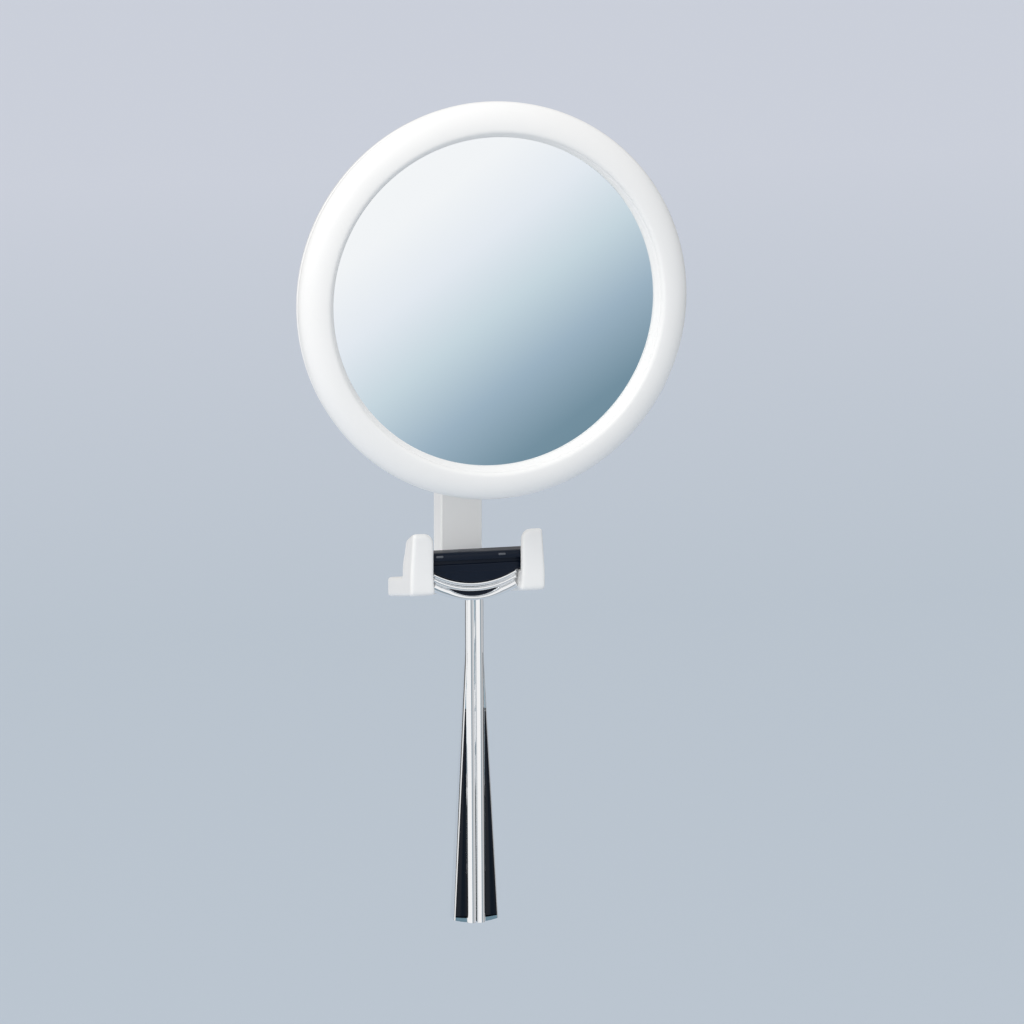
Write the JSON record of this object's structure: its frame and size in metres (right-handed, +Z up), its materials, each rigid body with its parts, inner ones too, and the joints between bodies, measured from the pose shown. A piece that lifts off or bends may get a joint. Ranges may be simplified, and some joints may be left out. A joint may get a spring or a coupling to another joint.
{
  "type": "extendable wall shaving mirror",
  "caption": "Round white wall mirror on a folding lattice arm, with a forked holder below that carries a chrome and black safety razor.",
  "frame": {"origin": "middle of the two wall screw holes, on the wall plane", "axes": "+Z up, +Y into the wall, mirror looks along -Y, X left to right"},
  "size_m": [0.15, 0.0645, 0.3187],
  "materials": {
    "white_plastic": "satin-gloss moulded ABS",
    "white_bracket": "satin-gloss moulded ABS",
    "bar_steel": "brushed stainless strip",
    "pin_steel": "turned, bright",
    "nylon": "natural nylon",
    "zinc_casting": "satin chromed die casting",
    "mirror_glass": "polished, silvered at the back",
    "foam": "closed-cell foam",
    "black_plastic": "glossy moulded black",
    "black_inlay": "glossy black enamel-like inlay",
    "blade_steel": "ground and polished",
    "razor_chrome": "mirror-bright chrome plate"
  },
  "bodies": {
    "wall_unit": {"wall_rail": "white_plastic", "rail_top_cap": "white_plastic", "rail_front_cover": "white_plastic", "rail_pivot_pin": "pin_steel", "rail_pivot_sleeves": "nylon", "razor_holder": "white_plastic", "holder_screw": "pin_steel"},
    "inner_bar_a": {"lattice_bar_inner_a": "bar_steel", "centre_rivet_inner": "pin_steel", "joint_rivet_bottom": "pin_steel", "bar_washers_inner": "nylon"},
    "inner_bar_b": {"lattice_bar_inner_b": "bar_steel", "joint_rivet_top": "pin_steel", "rail_glide_axle": "pin_steel", "rail_glides": "nylon"},
    "outer_bar_a": {"lattice_bar_outer_a": "bar_steel", "centre_rivet_outer": "pin_steel", "bar_washers_outer": "nylon", "bracket_glide_axle": "pin_steel", "bracket_glides": "nylon"},
    "outer_bar_b": {"lattice_bar_outer_b": "bar_steel"},
    "bracket": {"front_bracket": "white_bracket", "bracket_pivot_pin": "pin_steel", "bracket_pivot_sleeves": "nylon", "swivel_studs": "pin_steel", "swivel_washers": "nylon"},
    "swivel": {"swivel_block": "zinc_casting", "tilt_pin": "pin_steel", "tilt_washers": "nylon"},
    "mirror_head": {"front_ring": "white_plastic", "mirror_glass": "mirror_glass", "foam_pad": "foam", "back_cover": "white_plastic", "cover_screws": "pin_steel", "hinge_plate": "zinc_casting", "hinge_screws": "pin_steel"},
    "razor": {"razor_cartridge": "black_plastic", "razor_blades": "blade_steel", "razor_bridge": "black_plastic", "razor_yoke": "razor_chrome", "razor_handle": "razor_chrome", "handle_inlays": "black_inlay"}
  },
  "joints": [
    {"name": "extend", "type": "hinge", "parent": "wall_unit", "child": "inner_bar_a", "pos_m": [0, -0.0054, 0.063], "axis": [-1, 0, 0], "range_deg": [0, 48.5]},
    {"name": "inner_cross", "type": "hinge", "parent": "inner_bar_a", "child": "inner_bar_b", "pos_m": [0, -0.01049, 0.01829], "axis": [-1, 0, 0], "range_deg": [-98, 1]},
    {"name": "middle_fold", "type": "hinge", "parent": "inner_bar_b", "child": "outer_bar_a", "pos_m": [0, -0.01559, 0.063], "axis": [-1, 0, 0], "range_deg": [-1, 98]},
    {"name": "outer_cross", "type": "hinge", "parent": "outer_bar_a", "child": "outer_bar_b", "pos_m": [0, -0.02068, 0.01829], "axis": [-1, 0, 0], "range_deg": [-98, 1]},
    {"name": "bracket_pivot", "type": "hinge", "parent": "outer_bar_b", "child": "bracket", "pos_m": [0, -0.02578, 0.063], "axis": [-1, 0, 0], "range_deg": [-1, 49.5]},
    {"name": "swivel", "type": "hinge", "parent": "bracket", "child": "swivel", "pos_m": [0, -0.041, 0.018], "axis": [0, 0, 1], "range_deg": [-25, 25]},
    {"name": "tilt", "type": "hinge", "parent": "swivel", "child": "mirror_head", "pos_m": [0, -0.041, 0.018], "axis": [1, 0, 0], "range_deg": [-15, 15]},
    {"name": "razor_lift", "type": "slide", "parent": "wall_unit", "child": "razor", "axis": [0, 0, 1], "range_m": [0, 0.017]}
  ],
  "couplings": [
    {"joint": "inner_cross", "follows": "extend", "ratio": -2},
    {"joint": "middle_fold", "follows": "extend", "ratio": 2},
    {"joint": "outer_cross", "follows": "extend", "ratio": -2},
    {"joint": "bracket_pivot", "follows": "extend", "ratio": 1}
  ]
}
